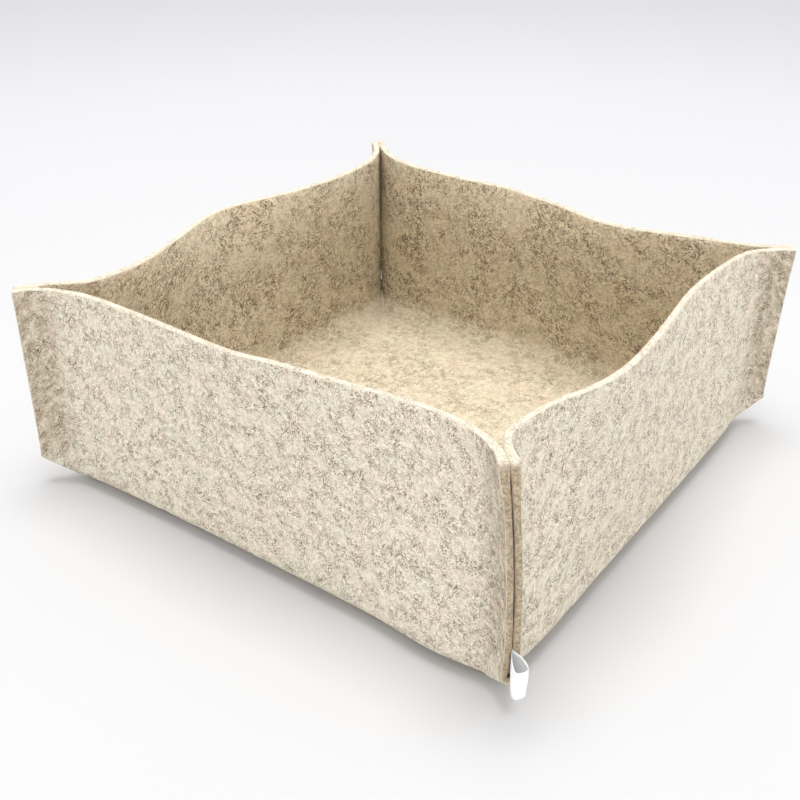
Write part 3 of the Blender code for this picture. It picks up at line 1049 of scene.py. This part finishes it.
        places = np.concatenate([outer, inner, *rows])
        piece = mesh_object("felt_sheet", places, np.concatenate(faces).tolist())
        data = piece.data
        plan = np.concatenate(uvs) / FELT_PLAN + 0.5
        data.uv_layers.new(name="cut_plan").data.foreach_set("uv", plan.ravel())
        zeros, edges = np.zeros(count), self.edge_steps
        inwards = [np.full(around, step / (edges + 1)) for step in range(1, edges + 1)]
        shares = {"inner": [zeros, zeros + 1.0, *inwards], "cut": [zeros, zeros, np.ones(around * edges)],
                  "rim": [zeros, zeros, *[on_rim] * edges], "seam_tint_and_shade": [seam_tint_and_shade, zeros, np.zeros(around * edges)]}
        for name, parts in shares.items():
            data.attributes.new(name, "FLOAT", "POINT").data.foreach_set("value", np.concatenate(parts))
        kinds = np.concatenate(regions).tolist()
        data.attributes.new("region", "INT", "FACE").data.foreach_set("value", kinds)
        data.materials.append(finish)
        data.validate()
        self.find_seams(outer, normals, ids, edge_gap, rings)
        return piece

    def closing(self, middle: np.ndarray, gaps: np.ndarray, below: np.ndarray, off: np.ndarray) -> np.ndarray:
        """How much thicker the felt is inwards at the seams, where the thread pulls the layers shut.

        Args:
            middle: The middle surface's places.
            gaps: Their distances from the raw edge.
            below: Their distances from the rim.
            off: Their distances from the corner's diagonal.

        Returns:
            Extra thickness for every place, in metres.
        """
        room = np.maximum(off - self.half - self.seam_slit, 0.0)
        room *= smooth_step(*(self.notch_height - down for down in self.closing_foot), middle[:, 2])
        near = np.exp(-(((gaps - self.groove_inset) / self.seam_width) ** 2))
        top = smooth_step(*self.closing_rim, below) * (1.0 - smooth_step(*self.closing_reach, gaps))
        return np.minimum(room * np.maximum(near, top), self.most_closing)

    def find_seams(self, outer: np.ndarray, normals: np.ndarray, ids: np.ndarray, edge_gap: np.ndarray,
                   rings: Sequence[Ring]) -> None:
        """Keep the way of each stitch row on the outer face, as points and surface normals.

        Args:
            outer: The outer face's places.
            normals: The surface normals there.
            ids: Vertex numbers by ring, wall and column.
            edge_gap: Distance from the raw edge by ring and column.
            rings: The sheet's rings.
        """
        levels = [n for n, ring in enumerate(rings) if ring.is_open and ring.height > self.seam_foot][:-1]
        half = ids.shape[2] // 2
        for wall in range(4):
            for columns in (range(half), range(ids.shape[2] - 1, half, -1)):
                spots, ups = [], []
                for level in levels:
                    gap = edge_gap[level, list(columns)]
                    index = int(np.searchsorted(gap, self.groove_inset))
                    part = (self.groove_inset - gap[index - 1]) / (gap[index] - gap[index - 1])
                    a, b = ids[level, wall, columns[index - 1]], ids[level, wall, columns[index]]
                    spots.append(outer[a] * (1 - part) + outer[b] * part)
                    ups.append(normals[a] * (1 - part) + normals[b] * part)
                self.seam_paths.append((np.array(spots), unit(np.array(ups))))


def tube(name: str, path: np.ndarray, radius: float, sides: int = 3, turn: float = 0.5) -> bpy.types.Object:
    """A closed thin tube along a short path, pointed at both ends.

    Args:
        name: Name of the object.
        path: Places along the middle, the first and last being its points.
        radius: Radius of the tube.
        sides: Number of sides.
        turn: Angle that its sides are turned by, in radians.

    Returns:
        The tube as an object.
    """
    points = [path[0]]
    for number in range(1, len(path) - 1):
        ahead = unit(path[number + 1] - path[number - 1])
        aside = unit(np.cross(ahead, (0.0, 0.0, 1.0)))
        up = np.cross(aside, ahead)
        for side in range(sides):
            angle = 2.0 * math.pi * side / sides + turn
            points.append(path[number] + radius * (aside * math.cos(angle) + up * math.sin(angle)))
    points.append(path[-1])
    faces: list[tuple[int, ...]] = []
    rings = len(path) - 2
    for side in range(sides):
        after = (side + 1) % sides
        faces.append((0, 1 + after, 1 + side))
        for ring in range(rings - 1):
            low, high = 1 + ring * sides, 1 + (ring + 1) * sides
            faces.append((low + side, low + after, high + after, high + side))
        low = 1 + (rings - 1) * sides
        faces.append((low + side, low + after, len(points) - 1))
    return mesh_object(name, points, faces)


def new_tree(name: str, sockets: dict[str, str]) -> tuple[NodeBoard, bpy.types.NodeOutputs]:
    """Start a Geometry Nodes tree with named inputs.

    Args:
        name: Name of the tree.
        sockets: Name of each input to the ending of its socket type.

    Returns:
        A board for the tree's nodes, and the sockets of its inputs by name.
    """
    tree = bpy.data.node_groups.new(name, "GeometryNodeTree")
    for socket, kind in sockets.items():
        tree.interface.new_socket(name=socket, in_out="INPUT", socket_type=f"NodeSocket{kind}")
    tree.interface.new_socket(name="Geometry", in_out="OUTPUT", socket_type="NodeSocketGeometry")
    board = NodeBoard(tree)
    return board, board.add("NodeGroupInput").outputs


def finish_tree(board: NodeBoard, geometry: Socket, finish: bpy.types.Material) -> bpy.types.NodeTree:
    """End a tree: make its instances real, dress them and put them out.

    Args:
        board: The tree's board.
        geometry: The instances.
        finish: Their material.

    Returns:
        The tree.
    """
    real = board.add("GeometryNodeRealizeInstances", {0: geometry})
    dressed = board.add("GeometryNodeSetMaterial", {"Geometry": real.outputs[0], "Material": finish})
    board.add("NodeGroupOutput", {0: dressed.outputs[0]})
    return board.tree


def grow(name: str, data: bpy.types.Mesh, tree: bpy.types.NodeTree, values: dict[str, float],
         finish: bpy.types.Material) -> bpy.types.Object:
    """Run a tree on a mesh, keep the result as a plain piece, and delete the tree.

    Args:
        name: Name of the piece.
        data: The mesh that the tree starts from.
        tree: The tree.
        values: Value of each named input.
        finish: The piece's material.

    Returns:
        The plain piece.
    """
    holder = bpy.data.objects.new(name + "_holder", data)
    link(holder)
    modifier = holder.modifiers.new(name, "NODES")
    modifier.node_group = tree
    for item in tree.interface.items_tree:
        if item.name in values:
            modifier[item.identifier] = values[item.name]
    piece = plain_copy(holder, name, finish)
    bpy.data.node_groups.remove(tree)
    return piece


@dataclass
class HairField:
    """Short wool hairs strewn over one region of the felt."""

    name: str
    region: Region
    per_square_metre: float
    tilt: float
    seed: int
    smallest: float = 0.6
    largest: float = 1.35
    hair_radius: float = 0.00008
    darkest: float = 0.0
    standing: bool = False

    def shapes(self) -> bpy.types.Collection:
        """Make the few hair shapes that the field repeats, from tables in millimetres.

        Returns:
            A collection of the shapes.
        """
        lying = (
            ((-1.9, -0.5, -0.2), (-0.8, 0.3, 0.10), (0.6, 0.4, 0.12), (1.8, -0.5, -0.2)),
            ((-1.6, 0.6, -0.2), (-0.5, -0.1, 0.12), (0.7, -0.4, 0.10), (1.6, 0.3, -0.2)),
            ((-1.3, -0.2, -0.2), (-0.5, 0.3, 0.16), (0.4, -0.2, 0.12), (1.2, 0.4, -0.2)),
        )
        standing = (
            ((0.0, 0.0, -0.3), (0.3, 0.2, 0.35), (1.0, 0.5, 0.75), (2.0, 0.2, 0.95)),
            ((0.0, 0.0, -0.3), (0.2, -0.3, 0.5), (0.6, -0.9, 0.8), (1.5, -1.4, 0.55)),
            ((-1.0, 0.0, -0.3), (-0.5, 0.2, 0.45), (0.5, 0.1, 0.5), (1.2, -0.4, -0.3)),
        )
        group = bpy.data.collections.new(self.name + "_shapes")
        for number, path in enumerate(standing if self.standing else lying):
            shape = tube(f"{self.name}_{number}", np.array(path) * MM, self.hair_radius)
            bpy.context.scene.collection.objects.unlink(shape)
            group.objects.link(shape)
        return group

    def tree(self, group: bpy.types.Collection, finish: bpy.types.Material) -> bpy.types.NodeTree:
        """Build the tree that strews the hairs.

        Args:
            group: The hair shapes.
            finish: The hairs' material.

        Returns:
            The tree.
        """
        board, given = new_tree("strewn_hairs", {
            "Felt": "Geometry", "Region": "Int", "Density": "Float", "Tilt": "Float", "Smallest": "Float",
            "Largest": "Float", "Darkest": "Float", "Seed": "Int"})
        region = board.add("GeometryNodeInputNamedAttribute", {"Name": "region"}, data_type="INT")
        chosen = board.add("FunctionNodeCompare", {2: region.outputs[0], 3: given["Region"]},
                           data_type="INT", operation="EQUAL")
        spots = board.add("GeometryNodeDistributePointsOnFaces",
                          {"Mesh": given["Felt"], "Selection": chosen.outputs[0], "Density": given["Density"],
                           "Seed": given["Seed"]}, distribute_method="RANDOM")
        back = board.times(given["Tilt"], -1.0)
        low = board.add("ShaderNodeCombineXYZ", {0: back, 1: back, 2: -math.pi}).outputs[0]
        high = board.add("ShaderNodeCombineXYZ", {0: given["Tilt"], 1: given["Tilt"], 2: math.pi}).outputs[0]
        turn = board.add("FunctionNodeRandomValue", {0: low, 1: high, 8: given["Seed"]},
                         data_type="FLOAT_VECTOR")
        spun = board.add("FunctionNodeEulerToRotation", {0: turn.outputs[0]})
        facing = board.add("FunctionNodeRotateRotation",
                           {"Rotation": spots.outputs["Rotation"], "Rotate By": spun.outputs[0]},
                           rotation_space="LOCAL")
        size = board.add("FunctionNodeRandomValue",
                         {2: given["Smallest"], 3: given["Largest"],
                          8: board.math("ADD", given["Seed"], SIZE_SEED)}, data_type="FLOAT")
        shapes = board.add("GeometryNodeCollectionInfo",
                           {"Collection": group, "Separate Children": True, "Reset Children": True})
        hairs = board.add("GeometryNodeInstanceOnPoints",
                          {"Points": spots.outputs["Points"], "Instance": shapes.outputs[0],
                           "Pick Instance": True, "Rotation": facing.outputs[0], "Scale": size.outputs[1]})
        tone = board.add("FunctionNodeRandomValue",
                         {2: given["Darkest"], 8: board.math("ADD", given["Seed"], TONE_SEED)},
                         data_type="FLOAT")
        toned = board.add("GeometryNodeStoreNamedAttribute",
                          {"Geometry": hairs.outputs[0], "Name": "tone", "Value": tone.outputs[1]},
                          data_type="FLOAT", domain="INSTANCE")
        return finish_tree(board, toned.outputs[0], finish)

    def build(self, felt: bpy.types.Object, finish: bpy.types.Material) -> bpy.types.Object:
        """Strew the hairs over the felt's region.

        Args:
            felt: The felt piece.
            finish: The hairs' material.

        Returns:
            One joined mesh of hairs.
        """
        group = self.shapes()
        values = {"Region": self.region.value, "Density": self.per_square_metre, "Tilt": self.tilt,
                  "Smallest": self.smallest, "Largest": self.largest, "Darkest": self.darkest,
                  "Seed": self.seed}
        piece = grow(self.name, felt.data.copy(), self.tree(group, finish), values, finish)
        for shape in list(group.objects):
            bpy.data.objects.remove(shape, do_unlink=True)
        bpy.data.collections.remove(group)
        return piece


@dataclass
class StitchRows:
    """The lockstitch along both sides of every fin."""

    pitch: float = 0.0043
    length: float = 0.0030
    radius: float = 0.00026
    lift: float = 0.00002
    end_dip: float = 0.0004
    crown: float = 0.0001
    shoulder: float = 0.72

    def tree(self, stitch: bpy.types.Object, finish: bpy.types.Material) -> bpy.types.NodeTree:
        """Build the tree that sets stitches along the seam lines.

        Args:
            stitch: The one stitch's shape.
            finish: The thread's material.

        Returns:
            The tree.
        """
        board, given = new_tree("stitch_rows", {"Lines": "Geometry", "Pitch": "Float"})
        curve = board.add("GeometryNodeMeshToCurve", {0: given["Lines"]})
        spaced = board.add("GeometryNodeResampleCurve", {"Curve": curve.outputs[0], "Length": given["Pitch"]},
                           mode="LENGTH")
        ahead = board.add("GeometryNodeInputTangent")
        up = board.add("GeometryNodeInputNamedAttribute", {"Name": "up"}, data_type="FLOAT_VECTOR")
        facing = board.add("FunctionNodeAxesToRotation", {0: ahead.outputs[0], 1: up.outputs[0]},
                           primary_axis="X", secondary_axis="Z")
        shape = board.add("GeometryNodeObjectInfo", {"Object": stitch, "As Instance": True})
        rows = board.add("GeometryNodeInstanceOnPoints",
                         {"Points": spaced.outputs[0], "Instance": shape.outputs["Geometry"],
                          "Rotation": facing.outputs[0]})
        return finish_tree(board, rows.outputs[0], finish)

    def build(self, paths: Sequence[tuple[np.ndarray, np.ndarray]],
              finish: bpy.types.Material) -> bpy.types.Object:
        """Sew the stitch rows.

        Args:
            paths: Each row's places and surface normals.
            finish: The thread's material.

        Returns:
            One joined mesh of stitches.
        """
        half = self.length / 2.0
        bend = half * self.shoulder
        arch = np.array([(-half, 0, -self.end_dip), (-bend, 0, 0), (0, 0, self.crown), (bend, 0, 0),
                         (half, 0, -self.end_dip)])
        stitch = tube("one_stitch", arch, self.radius, sides=6)
        points, links, normals = [], [], []
        for spots, ups in paths:
            start = len(points)
            points += [tuple(map(float, point)) for point in spots + ups * self.lift]
            normals += list(ups)
            links += [(number, number + 1) for number in range(start, len(points) - 1)]
        data = bpy.data.meshes.new("seam_lines")
        data.from_pydata(points, links, [])
        ups = data.attributes.new("up", "FLOAT_VECTOR", "POINT")
        ups.data.foreach_set("vector", np.array(normals).ravel())
        piece = grow("seam_stitches", data, self.tree(stitch, finish), {"Pitch": self.pitch}, finish)
        bpy.data.objects.remove(stitch, do_unlink=True)
        return piece


@dataclass
class RibbonLabel:
    """The blank satin ribbon, folded to a loop with both ends sewn into the front right fin."""

    sheet: FeltSheet
    foot: float = 0.0295
    height: float = 0.0185
    droop: float = 0.0008
    thickness: float = 0.00035
    rows: int = 12
    substeps: int = 5
    ripple: float = 0.0005
    ripple_rise: float = 5.0
    ripple_run: float = 260.0

    def outline(self) -> np.ndarray:
        """Draw the ribbon's way in plan, smooth through its table.

        Returns:
            Places along it as (out, aside), in metres.
        """
        path = np.array(RIBBON_PATH) * MM
        slopes = np.concatenate([path[1:2] - path[:1], (path[2:] - path[:-2]) / 2.0, path[-1:] - path[-2:-1]])
        part = (np.arange(self.substeps) / self.substeps)[:, None]
        ends, slopes = ((table[:-1, None], table[1:, None]) for table in (path, slopes))
        return np.concatenate([curve_between(part, ends, slopes).reshape(-1, 2), path[-1:]])

    def length(self) -> float:
        """The ribbon's cut length."""
        return float(np.linalg.norm(np.diff(self.outline(), axis=0), axis=1).sum())

    def build(self, finish: bpy.types.Material) -> bpy.types.Object:
        """Make the ribbon.

        Args:
            finish: The ribbon's material.

        Returns:
            The ribbon piece, a thin strip with its thickness.
        """
        outline = self.outline()
        reach = outline[:, 0].max()
        places = []
        for row in range(self.rows + 1):
            up = row / self.rows
            sag = self.droop * (np.maximum(outline[:, 0], 0.0) / reach) ** 2
            ripple = self.ripple * np.sin(up * self.ripple_rise + outline[:, 0] * self.ripple_run)
            ripple = ripple * np.clip(outline[:, 0] / reach, 0.0, 1.0)
            along = self.sheet.fin_tip + outline[:, 0]
            aside = outline[:, 1] + ripple
            places.append(np.stack([(along + aside) / ROOT_TWO, (aside - along) / ROOT_TWO,
                                    self.foot + self.height * up - sag], axis=1))
        points = self.sheet.off_square(np.concatenate(places))
        wide = len(outline)
        run = np.concatenate([[0.0], np.cumsum(np.linalg.norm(np.diff(outline, axis=0), axis=1))])
        faces, plan = [], []
        for row in range(self.rows):
            low, high = (self.height * step / self.rows for step in (row, row + 1))
            for column in range(wide - 1):
                start = row * wide + column
                faces.append((start, start + 1, start + wide + 1, start + wide))
                here, there = run[column:column + 2]
                plan += [(here, low), (there, low), (there, high), (here, high)]
        plan = np.array(plan) / RIBBON_PLAN
        piece = mesh_object("ribbon_label", points, faces)
        piece.data.uv_layers.new(name="ribbon_plan").data.foreach_set("uv", plan.ravel())
        piece.data.materials.append(finish)
        cloth = piece.modifiers.new("thickness", "SOLIDIFY")
        cloth.thickness = self.thickness
        cloth.offset = 0.0
        return piece


@dataclass
class Studio:
    """The white paper floor, the soft light and the camera."""

    lens: float = 48.68
    azimuth: float = 36.324
    elevation: float = 29.839
    distance: float = 0.83021
    target: tuple[float, float, float] = (0.009137, -0.042352, 0.070)
    floor_half: float = 6.0
    floor_drop: float = 0.0002
    sky: Colour = (0.99, 0.99, 1.0, 1.0)
    horizon_strength: float = 3.55
    wall_strength: float = 0.10
    ceiling_strength: float = 1.12
    horizon_band: Band = (0.15, 0.27)
    ceiling_band: Band = (0.42, 0.58)
    top_power: float = 29.5
    top_size: float = 1.1
    top_place: tuple[float, float, float] = (0.0, 0.0, 2.0)

    def build_floor(self) -> None:
        """Lay the floor just under the felt."""
        half, low = self.floor_half, -self.floor_drop
        floor = mesh_object("paper_floor", [(-half, -half, low), (half, -half, low), (half, half, low),
                                            (-half, half, low)], [(0, 1, 2, 3)], smooth=False)
        floor.data.materials.append(FloorFinish().make())

    def build_light(self) -> None:
        """Light the studio: a room bright at the horizon and the ceiling, and one soft box above."""
        world = bpy.data.worlds.new("pale_room")
        bpy.context.scene.world = world
        world.use_nodes = True
        board = NodeBoard(world.node_tree)
        background = world.node_tree.nodes["Background"]
        background.inputs["Color"].default_value = self.sky
        looking = board.add("ShaderNodeTexCoord").outputs["Generated"]
        up = board.add("ShaderNodeSeparateXYZ", {0: looking}).outputs["Z"]
        low = board.ramp(up, *self.horizon_band, self.horizon_strength, self.wall_strength)
        high = board.ramp(up, *self.ceiling_band, 0.0, self.ceiling_strength - self.wall_strength)
        board.tree.links.new(board.math("ADD", low, high), background.inputs["Strength"])
        lamp = bpy.data.lights.new("soft_box", "AREA")
        lamp.shape = "SQUARE"
        lamp.size = self.top_size
        lamp.energy = self.top_power
        box = bpy.data.objects.new("soft_box", lamp)
        box.location = self.top_place
        aim = Vector((0.0, 0.0, 0.0)) - box.location
        box.rotation_euler = aim.to_track_quat("-Z", "Y").to_euler()
        link(box)
        bpy.context.scene.view_settings.view_transform = "Standard"
        bpy.context.scene.view_settings.look = "None"

    def build_camera(self) -> None:
        """Set the camera where the photograph was taken from."""
        data = bpy.data.cameras.new("camera")
        data.lens = self.lens
        data.sensor_width = 36.0
        data.clip_start = 0.01
        camera = bpy.data.objects.new("camera", data)
        turn = Matrix.Rotation(math.radians(self.azimuth), 4, "Z")
        turn = turn @ Matrix.Rotation(math.radians(90.0 - self.elevation), 4, "X")
        back = turn @ Vector((0.0, 0.0, self.distance))
        camera.matrix_world = Matrix.Translation(Vector(self.target) + back) @ turn
        link(camera)
        bpy.context.scene.camera = camera


def report(piece: bpy.types.Object) -> None:
    """Log a finished piece's size."""
    LOG.info("%s: %d triangles", piece.name, triangles(piece))


def main() -> None:
    """Build the bed's pieces in order, dress them and set the studio."""
    logging.basicConfig(level=logging.INFO, format="%(name)s %(message)s")
    studio = Studio()
    studio.build_camera()
    studio.build_light()
    studio.build_floor()

    sheet = FeltSheet()
    felt = sheet.build(FeltFinish().make())
    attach(felt, "root")
    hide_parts("felt_body")
    report(felt)

    hairs = FibreFinish().make()
    fields = (
        HairField("hairs_outside", Region.OUTSIDE, 52000.0, 0.12, 11),
        HairField("hairs_inside", Region.INSIDE, 40000.0, 0.12, 23),
        HairField("hairs_base", Region.BASE, 40000.0, 0.12, 37, darkest=0.25),
        HairField("hairs_rim", Region.RIM, 300000.0, 0.5, 41, largest=1.1, darkest=0.36, standing=True),
        HairField("hairs_raw_edges", Region.RAW_EDGE, 110000.0, 0.4, 53, largest=1.1, darkest=0.1,
                  standing=True),
        HairField("fuzz_outside", Region.OUTSIDE, 22000.0, 0.5, 67, hair_radius=0.00006, darkest=0.2,
                  standing=True),
    )
    for field in fields:
        piece = field.build(felt, hairs)
        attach(piece, "root")
        report(piece)

    stitches = StitchRows().build(sheet.seam_paths, ThreadFinish().make())
    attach(stitches, "root")
    report(stitches)

    label = RibbonLabel(sheet)
    ribbon = label.build(RibbonFinish().make())
    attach(ribbon, "root")
    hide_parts("label")
    report(ribbon)

    round(label.length(), 4)


if __name__ == "__main__":
    main()
